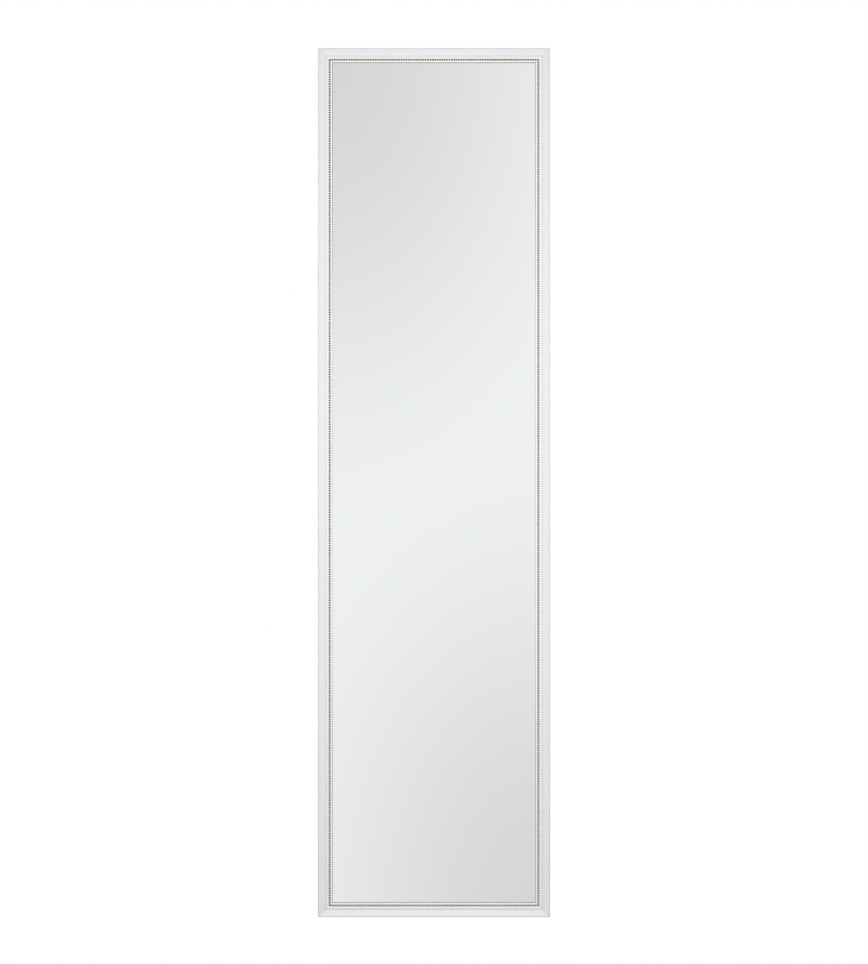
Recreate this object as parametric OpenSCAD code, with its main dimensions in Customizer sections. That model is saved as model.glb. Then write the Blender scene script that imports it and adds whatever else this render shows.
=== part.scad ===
// Over-the-door mirror: a tall mirror in a mitred white moulding with an inlaid row of beads,
// hung on two height-adjustable strap hooks. Millimetres, front facing -Y, +Z up.
// The origin is on the back of the top rail, at mid width, on the line of the hook screws.

/* [Frame] */
// Overall width of the frame
frame_w = 334; // [260:1:460]
// Overall height of the frame
frame_h = 1251.6; // [900:0.1:1600]
// Width of the crowned outer face of the moulding
crown_w = 9.9; // [8:0.1:16]
// Rise of the crowned face from the outer edge to its crest
crown_rise = 2; // [1:0.1:3]
// Radius of the outer edge of the moulding
edge_r = 1.2; // [0.6:0.1:2]
// Width of the hollow cove beside the crowned face
cove_w = 3.4; // [2:0.1:5]
// Depth of the cove below the line between its two edges
cove_depth = 1.1; // [0.5:0.1:1.4]
// Width of the flat band outside the beads
band_w = 1.9; // [1:0.1:4]
// Drop of the band below the crest
band_drop = 1.2; // [0.4:0.1:2]
// Width of the rounded fillet inside the beads
fillet_w = 1.9; // [1:0.1:4]
// Drop of the fillet below the band
fillet_drop = 0.6; // [0:0.1:1]
// Rise of the rounded top of the fillet
fillet_rise = 0.3; // [0.1:0.05:0.6]
// Width of the bevel at the sight edge
bevel_w = 0.8; // [0.4:0.1:1.5]
// How far the lip reaches over the rebate
lip_w = 7.1; // [6:0.1:9]
// Thickness of the lip under the bead channel
lip_t = 2.5; // [1.5:0.1:4]

/* [Beads] */
// Diameter of one bead
bead_d = 2.7; // [2:0.1:3.2]
// Wanted distance from bead to bead
bead_pitch = 3.43; // [3.3:0.01:5]
// How deep the flat of each bead lies in its strip
bead_sink = 0.15; // [0.05:0.05:0.4]
// Thickness of the strip that carries the beads
trim_t = 0.9; // [0.6:0.1:1.5]
// Margin of the strip on each side of the beads
trim_margin = 0.1; // [0.05:0.05:0.5]
// Depth of the channel that the strip lies in
channel_depth = 1.9; // [1.6:0.1:2.5]

/* [Glass and backing] */
// Thickness of the mirror glass
glass_t = 3; // [2:0.5:5]
// Width of the ground arris on the edges of the glass
arris = 0.6; // [0.2:0.1:1]
// Gap round the glass and the backing board in the rebate
glass_gap = 0.8; // [0.3:0.1:2]
// Thickness of the backing board
board_t = 3; // [2:0.5:5]
// Radius of the corners of the backing board
board_r = 4; // [1:0.5:12]
// Space behind the backing board, down to the back of the frame
back_recess = 4.4; // [3:0.1:8]

/* [Fixings] */
// Retaining points along each stile
points_long = 5; // [3:1:9]
// Retaining points along each rail
points_short = 2; // [1:1:4]
// Width of a retaining point
point_w = 6; // [4:0.5:8]
// Thickness of a retaining point
point_t = 0.5; // [0.3:0.1:0.8]
// Length of a retaining point driven into the moulding
point_in = 5.5; // [3:0.5:8]
// Length of a retaining point left over the board
point_out = 9; // [6:0.5:12]
// Cut across the corners of a retaining point's outer end
point_cut = 1.5; // [0.5:0.1:2]
// Length of each leg of a corner V-nail
nail_leg = 5.5; // [4:0.5:7]
// Thickness of a corner V-nail
nail_t = 0.5; // [0.4:0.1:0.8]
// Depth to which a corner V-nail is driven
nail_depth = 8; // [5:0.5:9]
// Diameter of a bumper
bumper_d = 10; // [6:0.5:11]
// Distance from the side of the frame to a bumper's centre
bumper_inset = 24; // [18:1:60]

/* [Door hooks] */
// Thickness of the thickest door that the hooks go over
door_t = 44.5; // [35:0.5:50]
// Free play on the thickest door
door_play = 0.5; // [0.2:0.1:2]
// Width of the strap
hook_w = 25.4; // [22:0.1:32]
// Thickness of the strap
hook_t = 1.5; // [1:0.1:2.5]
// Inside radius of the strap's bends
bend_r = 1.5; // [1:0.1:3]
// Distance from the side of the frame to a hook's centre line
hook_inset = 47.5; // [36:0.5:80]
// Clearance beside the strap in its seat in the top rail
seat_clear = 0.3; // [0.1:0.05:1]
// Drop of the lowered hook's top below the top of the frame
web_drop = 1; // [0:0.1:3]
// Distance from the top of the frame down to the line of the hook screws
screw_drop = 8.4; // [8:0.1:9]
// Height adjustment of each hook
hook_travel = 60; // [30:1:90]
// Length of the lip behind the door
hook_lip = 34; // [26:1:50]
// Length of the lip's flared end
flare_len = 6; // [3:0.5:10]
// Angle of the lip's flared end
flare_angle = 14; // [5:1:25]
// Radius of the strap's outer corners
corner_r = 4; // [2:0.5:6]
// Length of plain strap below the slots
tail_len = 28; // [24:1:40]
// Distance between the two slots of a hook
slot_pitch = 12.7; // [10:0.1:14]
// Diameter of the screw's shank
screw_d = 3.5; // [3:0.1:4]
// Diameter left at the tip of the screw
screw_tip_d = 0.6; // [0.2:0.1:1]
// Clearance round the shank in its slot
slot_clear = 0.45; // [0.2:0.05:0.8]
// Length of the shank inside the rail
screw_len = 11; // [8:0.5:12]
// Diameter of the screw's head
screw_head_d = 6.8; // [6:0.1:8]
// Height of the screw's head
screw_head_h = 2; // [1.5:0.1:2.2]
// Height of the straight side of the screw's head
screw_side_h = 0.6; // [0.2:0.1:1]
// Width of the slots in the screw's cross recess
recess_w = 0.8; // [0.5:0.1:1]
// Depth of the screw's cross recess
recess_depth = 1.1; // [0.6:0.1:1.3]

/* [Pads] */
// Thickness of the pads that touch the faces of the door
pad_t = 2.5; // [2.3:0.1:4]
// Thickness of the pad that rests on top of the door
web_pad_t = 1.5; // [1:0.1:3]
// Height of the pads that touch the faces of the door
pad_h = 20; // [12:1:22]
// Margin between a pad and the strap's edges
pad_margin = 1.5; // [0.5:0.1:3]
// Radius of the pads' corners
pad_r = 2; // [0.5:0.5:4]

/* [Hidden] */
// Clearance of a driven fastener in its own hole
drive_clear = 0.05;
// Overrun of a cutting shape past the surface that it cuts
over = 1;
// Points on a drawn arc
arc_steps = 8;
$fn = 48;

// Moulding, across its face and up from its back
channel_w = bead_d + 2 * trim_margin + 2 * drive_clear;
cove_u = crown_w + cove_w;
channel_u = cove_u + band_w;
bead_u = channel_u + channel_w / 2;
fillet_u = channel_u + channel_w;
bevel_u = fillet_u + fillet_w;
face_w = bevel_u + bevel_w;
land_w = face_w - lip_w;
glass_v = back_recess + board_t + glass_t;
channel_v = glass_v + lip_t;
band_v = channel_v + channel_depth;
frame_d = band_v + band_drop;
fillet_v = band_v - fillet_drop;

// Whole frame
top_z = screw_drop;
mid_z = top_z - frame_h / 2;
bumper_z = top_z - frame_h + land_w / 2;
glass_w = frame_w - 2 * (land_w + glass_gap);
glass_h = frame_h - 2 * (land_w + glass_gap);

// Hooks
hook_x = frame_w / 2 - hook_inset;
hook_gap = door_t + door_play + 2 * pad_t;
hook_reach = hook_gap + 2 * hook_t;
web_z = top_z - web_drop - hook_t;
slot_r = screw_d / 2 + slot_clear;
leg_end_z = -hook_travel - slot_r - tail_len;
lip_end_z = web_z - hook_lip;
pad_w = hook_w - 2 * pad_margin;
rail_back_z = top_z - land_w;

// Points of an arc round a centre, from one angle to another
function arc(centre, r, from, to) =
    [for (i = [0 : arc_steps])
        let (a = from + (to - from) * i / arc_steps)
        centre + r * [cos(a), sin(a)]];

// Points of an arc between two points, bulging to the left of the way from p to q by sag
function bow(p, q, sag) =
    let (half = norm(q - p) / 2)
    let (r = (half * half + sag * sag) / (2 * abs(sag)))
    let (along = (q - p) / (2 * half))
    let (side = [-along[1], along[0]] * sign(sag))
    let (centre = (p + q) / 2 - side * (r - abs(sag)))
    let (reach = asin(half / r))
    [for (i = [0 : arc_steps])
        let (a = reach * (2 * i / arc_steps - 1))
        centre + r * (sin(a) * along + cos(a) * side)];

// ---- Moulding ----

// Crowned face: a small round at the outer edge runs tangent into the broad arc
crown_r = (crown_w * crown_w + crown_rise * crown_rise) / (2 * crown_rise);
crown_c = [crown_w, frame_d - crown_r];
edge_c = [edge_r, crown_c[1] + sqrt(pow(crown_r - edge_r, 2) - pow(crown_w - edge_r, 2))];
crown_a = atan2(edge_c[1] - crown_c[1], edge_c[0] - crown_c[0]);

// Cross-section: x across the face from the outer edge, y up from the back
module moulding_section() {
    polygon(concat(
        [[0, 0]],
        arc(edge_c, edge_r, 180, crown_a),
        arc(crown_c, crown_r, crown_a, 90),
        bow([crown_w, frame_d], [cove_u, band_v], -cove_depth),
        [[channel_u, band_v], [channel_u, channel_v], [fillet_u, channel_v]],
        bow([fillet_u, fillet_v], [bevel_u, fillet_v], fillet_rise),
        [[face_w, fillet_v - bevel_w], [face_w, glass_v], [land_w, glass_v], [land_w, 0]]
    ));
}

// Keeps what lies between the two mitres of a member whose outer edge is len long.
// x runs inwards from the outer edge, z down the member from z = 0.
module between_mitres(len) {
    deep = frame_d + 2 * over;
    wide = face_w + over;
    rotate([-90, 0, 0])
        translate([0, 0, -frame_d - over])
            linear_extrude(height = deep)
                polygon([[-over, -over], [-over, len + over], [wide, len - wide], [wide, wide]]);
}

// One V-nail across the mitre at the top of a member, grown all round by grow
module v_nail(grow) {
    apex = (land_w - nail_leg) / 2;
    thick = nail_t + 2 * grow;
    for (turn = [0, 1])
        mirror([turn, 0, turn])
            translate([apex - thick / 2, -nail_depth - grow, -apex - nail_leg - grow])
                cube([thick, nail_depth + grow, nail_leg + grow + thick / 2]);
}

// Outline of a retaining point, grown by grow: the tip in the moulding is pointed
module point_outline(grow) {
    half = point_w / 2 + grow;
    shoulder = point_w / 2 - point_in;
    polygon([
        [-point_in - grow, 0], [shoulder, half], [point_out - point_cut, half],
        [point_out, half - point_cut], [point_out, point_cut - half],
        [point_out - point_cut, -half], [shoulder, -half]
    ]);
}

// Retaining points of one member, lying on the back of the board
module retaining_points(len, count, grow) {
    for (i = [1 : count])
        translate([land_w, -back_recess - grow, -len * (i - 0.5) / count])
            rotate([-90, 0, 0])
                linear_extrude(height = point_t + 2 * grow)
                    point_outline(grow);
}

// One mitred member: outer edge on the z axis, running down from z = 0, face to -y
module member(len, count) {
    difference() {
        intersection() {
            translate([0, 0, over])
                rotate([180, 0, 0])
                    linear_extrude(height = len + 2 * over)
                        moulding_section();
            between_mitres(len);
        }
        open_v_nail();
        translate([0, 0, -len])
            mirror([0, 0, 1])
                open_v_nail();
        retaining_points(len, count, drive_clear);
    }
}

// Pocket of a V-nail, open at the back
module open_v_nail() {
    v_nail(drive_clear);
    translate([0, over, 0])
        v_nail(drive_clear);
}

// Carries a member, drawn as the left stile, to its side of the frame
module on_left() {
    translate([-frame_w / 2, 0, top_z])
        children();
}
module on_right() {
    mirror([1, 0, 0])
        on_left()
            children();
}
module on_top() {
    translate([frame_w / 2, 0, top_z])
        rotate([0, 90, 0])
            children();
}
module on_bottom() {
    translate([0, 0, 2 * mid_z])
        mirror([0, 0, 1])
            on_top()
                children();
}

module frame_stile_left() {
    color("#ececea")
        on_left()
            member(frame_h, points_long);
}
module frame_stile_right() {
    color("#ececea")
        on_right()
            member(frame_h, points_long);
}
module frame_rail_top() {
    color("#ececea")
        difference() {
            on_top()
                member(frame_w, points_short);
            for (x = [-hook_x, hook_x])
                in_seat(x) {
                    strap_seat();
                    at_screws()
                        rotate([90, 0, 0])
                            translate([0, 0, -over])
                                cylinder(r = screw_d / 2 + drive_clear,
                                         h = screw_len + over + drive_clear);
                }
        }
}
module frame_rail_bottom() {
    color("#ececea")
        on_bottom()
            member(frame_w, points_short);
}

// ---- Bead trim ----

// One bead: the cap of a ball with its flat in the strip
module bead() {
    rotate([90, 0, 0])
        rotate_extrude()
            intersection() {
                circle(d = bead_d);
                translate([0, -bead_sink])
                    square([bead_d, bead_d]);
            }
}

// Mitred strip with its row of beads, drawn as the left stile's.
// The last beads of two strips are one pitch apart across the corner.
module bead_trim(len) {
    inner = channel_u + drive_clear;
    outer = fillet_u - drive_clear;
    strip_v = channel_v + trim_t;
    first = bead_u + bead_pitch / sqrt(2);
    spaces = round((len - 2 * first) / bead_pitch);
    step = (len - 2 * first) / spaces;
    union() {
        rotate([-90, 0, 0])
            translate([0, 0, -strip_v])
                linear_extrude(height = trim_t)
                    polygon([[inner, inner], [inner, len - inner],
                             [outer, len - outer], [outer, outer]]);
        for (i = [0 : spaces])
            translate([bead_u, -strip_v, -first - i * step])
                bead();
    }
}

module bead_trim_left() {
    color("#b3a388")
        on_left()
            bead_trim(frame_h);
}
module bead_trim_right() {
    color("#b3a388")
        on_right()
            bead_trim(frame_h);
}
module bead_trim_top() {
    color("#b3a388")
        on_top()
            bead_trim(frame_w);
}
module bead_trim_bottom() {
    color("#b3a388")
        on_bottom()
            bead_trim(frame_w);
}

// ---- Glass and backing ----

// Sheet of glass with a ground arris on its eight long edges
module mirror_glass() {
    w = glass_w / 2;
    h = glass_h / 2;
    color("#cfd6da")
        intersection() {
            translate([0, 0, mid_z - h])
                linear_extrude(height = glass_h)
                    polygon([
                        [-w + arris, -glass_v], [w - arris, -glass_v],
                        [w, arris - glass_v], [w, glass_t - arris - glass_v],
                        [w - arris, glass_t - glass_v], [arris - w, glass_t - glass_v],
                        [-w, glass_t - arris - glass_v], [-w, arris - glass_v]
                    ]);
            translate([-w - over, 0, mid_z])
                rotate([90, 0, 90])
                    linear_extrude(height = glass_w + 2 * over)
                        polygon([
                            [-glass_v, -h + arris], [arris - glass_v, -h],
                            [glass_t - arris - glass_v, -h], [glass_t - glass_v, -h + arris],
                            [glass_t - glass_v, h - arris], [glass_t - arris - glass_v, h],
                            [arris - glass_v, h], [-glass_v, h - arris]
                        ]);
        }
}

// Plate with rounded corners, centred on the z axis and standing on z = 0
module plate(w, h, thick, r) {
    linear_extrude(height = thick)
        polygon(concat(
            arc([w / 2 - r, h / 2 - r], r, 0, 90),
            arc([r - w / 2, h / 2 - r], r, 90, 180),
            arc([r - w / 2, r - h / 2], r, 180, 270),
            arc([w / 2 - r, r - h / 2], r, 270, 360)
        ));
}

// The same plate set upright, its thickness running from y = 0 towards the door
module upright_plate(w, h, thick, r) {
    rotate([-90, 0, 0])
        plate(w, h, thick, r);
}

module backing_board() {
    color("#9c7a55")
        translate([0, glass_t - glass_v, mid_z])
            upright_plate(glass_w, glass_h, board_t, board_r);
}

// ---- Fixings ----

module retaining_points_left() {
    color("#a9adb1")
        on_left()
            retaining_points(frame_h, points_long, 0);
}
module retaining_points_right() {
    color("#a9adb1")
        on_right()
            retaining_points(frame_h, points_long, 0);
}
module retaining_points_top() {
    color("#a9adb1")
        on_top()
            retaining_points(frame_w, points_short, 0);
}
module retaining_points_bottom() {
    color("#a9adb1")
        on_bottom()
            retaining_points(frame_w, points_short, 0);
}

// One V-nail in each of the four corners, flush with the back
module corner_v_nails() {
    color("#8f9499")
        for (side = [0, 1], end = [0, 1])
            translate([0, 0, 2 * mid_z * end])
                mirror([0, 0, end])
                    mirror([side, 0, 0])
                        on_left()
                            v_nail(0);
}

// Rubber bumpers that keep the bottom of the frame off the door, as thick as the pads
module door_bumpers() {
    r = bumper_d / 2;
    soft = pad_t / 2;
    color("#3c3c3e")
        for (side = [-1, 1])
            translate([side * (frame_w / 2 - bumper_inset), 0, bumper_z])
                rotate([-90, 0, 0])
                    rotate_extrude()
                        polygon(concat(
                            [[0, 0], [r, 0]],
                            arc([r - soft, pad_t - soft], soft, 0, 90),
                            [[0, pad_t]]
                        ));
}

// ---- Door hooks ----

// Carries a hook's pieces, drawn on x = 0 with the leg's front face at y = 0, to its seat:
// the strap lies flush in the back of the top rail
module in_seat(x) {
    translate([x, -hook_t, 0])
        children();
}

// Groove that guides the strap, cut up through the back of the top rail
module strap_seat() {
    wide = hook_w + 2 * seat_clear;
    translate([-wide / 2, 0, rail_back_z - over])
        cube([wide, hook_t + over, land_w + 2 * over]);
}

// Puts a thing at both screw centres of a hook
module at_screws() {
    for (side = [-1, 1])
        translate([side * slot_pitch / 2, 0, 0])
            children();
}

// Side view of the strap: x towards the door, y up
module strap_side() {
    outer_r = bend_r + hook_t;
    lip_y = hook_reach - hook_t;
    flare = [sin(flare_angle), -cos(flare_angle)];
    flare_side = [cos(flare_angle), sin(flare_angle)];
    knee = [lip_y, lip_end_z + flare_len];
    polygon(concat(
        [[0, leg_end_z]],
        arc([outer_r, web_z + hook_t - outer_r], outer_r, 180, 90),
        arc([hook_reach - outer_r, web_z + hook_t - outer_r], outer_r, 90, 0),
        [knee + hook_t * [1, tan(flare_angle / 2)],
         knee + flare_len * flare + hook_t * flare_side,
         knee + flare_len * flare,
         knee],
        arc([lip_y - bend_r, web_z - bend_r], bend_r, 0, 90),
        arc([hook_t + bend_r, web_z - bend_r], bend_r, 90, 180),
        [[hook_t, leg_end_z]]
    ));
}

// Takes the two square corners off the end of a strap at height z, from y to y + deep
module round_end(z, y, deep) {
    for (side = [0, 1])
        mirror([side, 0, 0])
            translate([hook_w / 2 - corner_r, y, z + corner_r])
                rotate([-90, 0, 0])
                    difference() {
                        cube([corner_r + over, corner_r + over, deep]);
                        translate([0, 0, -over])
                            cylinder(r = corner_r, h = deep + 2 * over);
                    }
}

// Strap hook in its lowest place, centred on x = 0
module door_hook() {
    flare_end_z = lip_end_z + flare_len * (1 - cos(flare_angle));
    flare_y = flare_len * sin(flare_angle) + 2 * hook_t;
    difference() {
        translate([-hook_w / 2, 0, 0])
            rotate([90, 0, 90])
                linear_extrude(height = hook_w)
                    strap_side();
        round_end(leg_end_z, -over, hook_t + 2 * over);
        round_end(flare_end_z, hook_reach - hook_t - over, flare_y + over);
        at_screws()
            slot();
    }
}

// Upright slot through the leg, from the lowered screw place to the raised one
module slot() {
    for (z = [0, -hook_travel])
        translate([0, -over, z])
            rotate([-90, 0, 0])
                cylinder(r = slot_r, h = hook_t + 2 * over);
    translate([-slot_r, -over, -hook_travel])
        cube([2 * slot_r, hook_t + 2 * over, hook_travel]);
}

// Pan-head screw through the strap into the rail, with a cross recess and a pointed tip
module hook_screw() {
    head_r = screw_head_d / 2;
    dome_h = screw_head_h - screw_side_h;
    dome_r = (head_r * head_r + dome_h * dome_h) / (2 * dome_h);
    tip_h = screw_d / 2;
    rotate([90, 0, 0]) {
        difference() {
            translate([0, 0, -hook_t])
                mirror([0, 0, 1])
                    rotate_extrude()
                        intersection() {
                            square([head_r, screw_head_h]);
                            translate([0, screw_head_h - dome_r])
                                circle(r = dome_r);
                        }
            for (turn = [0, 90])
                rotate([0, 0, turn])
                    translate([-screw_d / 2, -recess_w / 2, -hook_t - screw_head_h - over])
                        cube([screw_d, recess_w, recess_depth + over]);
        }
        translate([0, 0, -hook_t])
            cylinder(r = screw_d / 2, h = hook_t + screw_len - tip_h);
        translate([0, 0, screw_len - tip_h])
            cylinder(r1 = screw_d / 2, r2 = screw_tip_d / 2, h = tip_h);
    }
}

module hook_screws(x) {
    color("#b9bcc0")
        in_seat(x)
            at_screws()
                hook_screw();
}

// Foam under the web, where the hook rests on top of the door
module top_pad() {
    deep = hook_gap - 2 * bend_r;
    translate([0, hook_t + bend_r + deep / 2, web_z - web_pad_t])
        plate(pad_w, deep, web_pad_t, pad_r);
}

// Foam on the lip, against the back of the door
module lip_pad() {
    translate([0, hook_reach - hook_t - pad_t, lip_end_z + flare_len + pad_h / 2])
        upright_plate(pad_w, pad_h, pad_t, pad_r);
}

// Foam on the foot of the leg, against the front of the door
module leg_pad() {
    translate([0, hook_t, leg_end_z + pad_margin + pad_h / 2])
        upright_plate(pad_w, pad_h, pad_t, pad_r);
}

module door_hook_left() {
    color("#c9ccd0")
        in_seat(-hook_x)
            door_hook();
}
module door_hook_right() {
    color("#c9ccd0")
        in_seat(hook_x)
            door_hook();
}
module hook_screws_left() {
    hook_screws(-hook_x);
}
module hook_screws_right() {
    hook_screws(hook_x);
}
module hook_top_pad_left() {
    color("#f2f2f0")
        in_seat(-hook_x)
            top_pad();
}
module hook_top_pad_right() {
    color("#f2f2f0")
        in_seat(hook_x)
            top_pad();
}
module hook_lip_pad_left() {
    color("#f2f2f0")
        in_seat(-hook_x)
            lip_pad();
}
module hook_lip_pad_right() {
    color("#f2f2f0")
        in_seat(hook_x)
            lip_pad();
}
module hook_leg_pad_left() {
    color("#f2f2f0")
        in_seat(-hook_x)
            leg_pad();
}
module hook_leg_pad_right() {
    color("#f2f2f0")
        in_seat(hook_x)
            leg_pad();
}

frame_rail_top();
frame_rail_bottom();
frame_stile_left();
frame_stile_right();
bead_trim_top();
bead_trim_bottom();
bead_trim_left();
bead_trim_right();
mirror_glass();
backing_board();
retaining_points_top();
retaining_points_bottom();
retaining_points_left();
retaining_points_right();
corner_v_nails();
door_bumpers();
door_hook_left();
door_hook_right();
hook_screws_left();
hook_screws_right();
hook_top_pad_left();
hook_top_pad_right();
hook_lip_pad_left();
hook_lip_pad_right();
hook_leg_pad_left();
hook_leg_pad_right();
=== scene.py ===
import math
from contextlib import contextmanager
from types import SimpleNamespace

import bmesh
import bpy
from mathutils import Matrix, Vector


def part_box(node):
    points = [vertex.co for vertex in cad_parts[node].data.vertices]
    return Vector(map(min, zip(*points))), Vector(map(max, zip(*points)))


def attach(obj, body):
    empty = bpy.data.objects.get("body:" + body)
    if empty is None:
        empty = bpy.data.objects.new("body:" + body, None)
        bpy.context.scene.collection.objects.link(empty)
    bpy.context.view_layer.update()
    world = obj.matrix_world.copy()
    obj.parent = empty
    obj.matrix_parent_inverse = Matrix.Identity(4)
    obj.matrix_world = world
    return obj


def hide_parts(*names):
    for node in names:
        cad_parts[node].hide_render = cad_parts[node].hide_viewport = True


bl_info = {
    "name": "Over the Door Mirror",
    "version": (1, 0, 0),
    "blender": (4, 5, 0),
    "location": "3D View > Sidebar > Door Mirror",
    "description": "Models and finishes an over the door mirror around its packed frame",
    "category": "Object",
}

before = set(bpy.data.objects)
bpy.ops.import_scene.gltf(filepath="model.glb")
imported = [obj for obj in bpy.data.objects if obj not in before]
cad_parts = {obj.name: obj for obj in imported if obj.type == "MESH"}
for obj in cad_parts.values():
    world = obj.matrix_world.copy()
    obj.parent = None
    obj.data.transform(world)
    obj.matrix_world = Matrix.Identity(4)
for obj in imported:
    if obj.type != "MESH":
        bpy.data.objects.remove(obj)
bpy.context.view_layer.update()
MM = 0.001
HAIR = MM / 1000  # less than any gap between two places that a selection tells apart
SIDES = ("left", "right", "top", "bottom")

# Places that the packed frame gives. Its front faces -Y and +Z is up.
STILE_LOW, STILE_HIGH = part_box("frame_stile_left")
GLASS_LOW, GLASS_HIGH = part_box("mirror_glass")
HOOK_LOW, HOOK_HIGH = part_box("door_hook_right")
FRAME_W = -2 * STILE_LOW.x
FRAME_H = STILE_HIGH.z - STILE_LOW.z
TOP_Z = STILE_HIGH.z
MID_Z = (STILE_HIGH.z + STILE_LOW.z) / 2
HOOK_X = (HOOK_LOW.x + HOOK_HIGH.x) / 2


def linear(code):
    """A colour written as an sRGB hex value, as the linear RGBA that shaders take."""
    parts = [int(code[i : i + 2], 16) / 255 for i in (1, 3, 5)]
    return (*(p / 12.92 if p <= 0.04045 else ((p + 0.055) / 1.055) ** 2.4 for p in parts), 1.0)


def length(name, description, default):
    """A size in metres that a user may change."""
    return bpy.props.FloatProperty(
        name=name, description=description, default=default, min=0, unit="LENGTH", precision=5
    )


def colour(name, description, default):
    """A finish colour that a user may change."""
    return bpy.props.FloatVectorProperty(
        name=name, description=description, default=linear(default), size=4, min=0, max=1,
        subtype="COLOR",
    )


class MouldingSettings(bpy.types.PropertyGroup):
    """Cross-section of the frame moulding, from the outer edge inwards"""

    edge_r: length("Outer edge radius", "Round at the outer edge", 1.2 * MM)
    crown_w: length("Crown width", "Width of the crowned outer face", 9.9 * MM)
    crown_rise: length("Crown rise", "Rise of the crowned face to its crest", 2.0 * MM)
    cove_w: length("Cove width", "Width of the hollow cove", 3.4 * MM)
    cove_depth: length("Cove depth", "Depth of the cove below its edges", 1.1 * MM)
    band_w: length("Band width", "Flat band outside the beads", 1.9 * MM)
    band_drop: length("Band drop", "Drop of the band below the crest", 1.2 * MM)
    channel_depth: length("Channel depth", "Depth of the bead channel", 1.9 * MM)
    fillet_w: length("Fillet width", "Rounded fillet inside the beads", 1.9 * MM)
    fillet_drop: length("Fillet drop", "Drop of the fillet below the band", 0.6 * MM)
    fillet_rise: length("Fillet rise", "Rise of the fillet's rounded top", 0.3 * MM)
    bevel_w: length("Bevel width", "Bevel at the sight edge", 0.8 * MM)
    rebate_gap: length("Rebate gap", "Gap round the glass in the rebate", 0.8 * MM)
    soft_edge: length("Soft edge", "Rounding that paint gives a sharp edge", 0.12 * MM)


class BeadSettings(bpy.types.PropertyGroup):
    """Row of beads inlaid in the moulding"""

    diameter: length("Bead diameter", "Diameter of one bead", 2.7 * MM)
    pitch: length("Bead pitch", "Wanted distance from bead to bead", 3.43 * MM)
    strip_t: length("Strip thickness", "Strip that carries the beads", 0.9 * MM)
    strip_gap: length("Strip gap", "Gap beside the strip in its channel", 0.05 * MM)
    sink: length("Sink", "How deep each bead lies in its strip", 0.15 * MM)
    wash_w: length("Wash width", "Width across the row of the brown between two beads", 5.0 * MM)
    wash_l: length("Wash length", "Length along the row of the brown between two beads", 2.4 * MM)


class HookSettings(bpy.types.PropertyGroup):
    """Strap hooks that go over the door, with their screws and pads"""

    strap_t: length("Strap thickness", "Thickness of the strap", 1.5 * MM)
    bend_r: length("Bend radius", "Inside radius of the bends", 1.5 * MM)
    corner_r: length("Corner radius", "Outer corners of the strap", 4.0 * MM)
    lip: length("Lip length", "Length of the lip behind the door", 34.0 * MM)
    flare_len: length("Flare length", "Length of the lip's flared end", 6.0 * MM)
    flare_angle: bpy.props.FloatProperty(
        name="Flare angle", description="Turn of the lip's flared end",
        default=math.radians(14), subtype="ANGLE",
    )
    slot_w: length("Slot width", "Width of the screw slots", 4.4 * MM)
    slot_pitch: length("Slot pitch", "Distance between the two slots", 12.7 * MM)
    travel: length("Travel", "Height adjustment along the slots", 60.0 * MM)
    seat_gap: length("Seat gap", "Gap beside the strap in its seat", 0.3 * MM)
    head_d: length("Screw head", "Diameter of the screw heads", 6.8 * MM)
    head_h: length("Head height", "Height of the screw heads", 2.0 * MM)
    shank_d: length("Screw shank", "Diameter of the screw shanks", 3.5 * MM)
    shank_len: length("Shank length", "Length of the screw shanks", 12.0 * MM)
    recess_w: length("Recess width", "Width of the cross recess", 0.8 * MM)
    recess_depth: length("Recess depth", "Depth of the cross recess", 1.1 * MM)
    pad_corner: length("Pad corner", "Corner radius of the pads", 2.0 * MM)
    soft_edge: length("Soft edge", "Rounding of the strap's sheared edges", 0.25 * MM)


class FinishSettings(bpy.types.PropertyGroup):
    """Colours of the finishes"""

    paint: colour("Paint", "White paint of the moulding", "#EBEBEC")
    # Painted highlight on the band and fillet beside the beads; the beads take this white too
    bright_paint: colour("Band paint", "Paint beside the beads, rubbed brighter", "#FBFBFA")
    wash: colour("Brown wash", "Brown wash left in the bead channel", "#72634C")
    # Brown-grey of a thin wash, also used as painted shade in the cove and on the sight edge
    edge_wash_and_shade: colour("Edge wash", "Thin wash left on the sight edge", "#958C7C")
    silver: colour("Silver", "Tint of silver seen through the glass", "#EEF0F2")
    glass_edge: colour("Glass edge", "Ground edge of the float glass", "#A4BDB0")
    back_paint: colour("Back paint", "Paint that seals the silver at the back", "#7D8183")
    board: colour("Hardboard", "Pressed brown hardboard", "#8B6B4A")
    board_fibre: colour("Board fibre", "Darker fibres in the hardboard", "#5E442C")
    zinc: colour("Zinc", "Bright zinc plating", "#C6C9CC")
    rubber: colour("Rubber", "Moulded rubber", "#2E2E30")
    powder: colour("Powder coat", "White powder coat of the strap hooks", "#EAEAE8")
    foam: colour("Foam", "White closed-cell foam", "#F1F0EC")


class StageSettings(bpy.types.PropertyGroup):
    """Camera, lamps, card and floor"""

    lens: bpy.props.FloatProperty(
        name="Lens", description="Focal length of the camera in millimetres", default=180,
        subtype="DISTANCE_CAMERA",
    )
    pixel: length("Pixel", "Width of one picture pixel at the mirror's face", 1.44 * MM)
    door_h: length("Door height", "Height of the door's top above the floor", 2.03)
    floor_r: length("Floor radius", "Radius of the round pale floor", 3.2)
    floor_tone: colour("Floor tone", "Pale grey of the floor", "#F7F7F7")
    ambient: bpy.props.FloatProperty(
        name="Ambient", description="Level of the light from all round", default=0.4, min=0
    )
    tone_fall: bpy.props.FloatProperty(
        name="Tone fall", description="How much darker the reflection is in its two dark corners",
        default=0.23, min=0, max=1,
    )
    tone_w: length("Tone width", "How far across the mirror a dark corner reaches", 0.47)
    tone_h: length("Tone height", "How far up the mirror a dark corner reaches", 0.72)


# ---- Modelling by hand: outlines, selections, modifiers ----


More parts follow.
